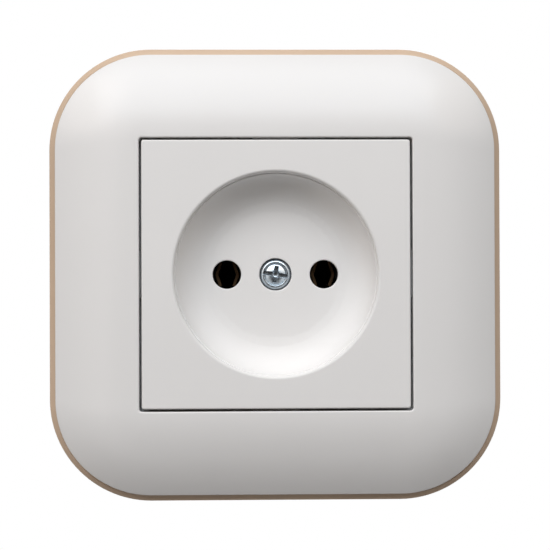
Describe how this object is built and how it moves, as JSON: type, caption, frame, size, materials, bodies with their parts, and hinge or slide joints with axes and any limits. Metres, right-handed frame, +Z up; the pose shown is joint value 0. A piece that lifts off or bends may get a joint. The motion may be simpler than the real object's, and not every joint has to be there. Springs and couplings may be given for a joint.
{
  "type": "wall socket",
  "caption": "Unearthed flush wall socket: bowed white frame on a tan base frame, dished cover with pin holes, and a steel plate with spreading claws, contacts and terminals behind.",
  "frame": {"origin": "centre of the socket in the plane of the finished wall, where the back of the frame lies", "axes": "+Y into the wall, +Z up and +X to the right as one looks at the socket, so its front faces -Y"},
  "size_m": [0.088, 0.0309, 0.088],
  "materials": {
    "white_gloss": "glossy moulded plastic",
    "white_satin": "satin moulded plastic",
    "tan": "matt moulded plastic",
    "dark_plastic": "matt moulded plastic",
    "zinc_steel": "bright zinc plated",
    "spring_steel": "plain spring steel",
    "brass": "stamped sheet"
  },
  "bodies": {
    "socket": {"outer_frame": "white_gloss", "base_frame": "tan", "socket_cover": "white_satin", "cover_screw": "zinc_steel", "cover_nut": "brass", "mounting_plate": "zinc_steel", "mechanism_base": "dark_plastic", "rear_cover": "dark_plastic", "contact_left": "brass", "contact_right": "brass", "contact_spring_left": "spring_steel", "contact_spring_right": "spring_steel", "terminal_clamp_left": "zinc_steel", "terminal_clamp_right": "zinc_steel", "terminal_screw_left": "zinc_steel", "terminal_screw_right": "zinc_steel", "plate_screw_lower": "zinc_steel", "plate_screw_upper": "zinc_steel", "rear_screw_lower": "zinc_steel", "rear_screw_upper": "zinc_steel"},
    "left_claw": {"claw_left": "zinc_steel"},
    "right_claw": {"claw_right": "zinc_steel"},
    "left_claw_screw": {"claw_screw_left": "zinc_steel"},
    "right_claw_screw": {"claw_screw_right": "zinc_steel"}
  },
  "joints": [
    {"name": "left_screw_turn", "type": "hinge", "parent": "socket", "child": "left_claw_screw", "pos_m": [-0.0235, 0, 0], "axis": [0, 1, 0], "range_deg": [0, 560]},
    {"name": "right_screw_turn", "type": "hinge", "parent": "socket", "child": "right_claw_screw", "pos_m": [0.0235, 0, 0], "axis": [0, 1, 0], "range_deg": [0, 560]},
    {"name": "left_claw_swing", "type": "hinge", "parent": "socket", "child": "left_claw", "pos_m": [-0.0203, 0.005, 0], "axis": [0, 0, 1], "range_deg": [0, 14]},
    {"name": "right_claw_swing", "type": "hinge", "parent": "socket", "child": "right_claw", "pos_m": [0.0203, 0.005, 0], "axis": [0, 0, -1], "range_deg": [0, 14]}
  ],
  "couplings": [
    {"joint": "left_screw_turn", "follows": "left_claw_swing", "ratio": 40},
    {"joint": "right_screw_turn", "follows": "right_claw_swing", "ratio": 40}
  ]
}
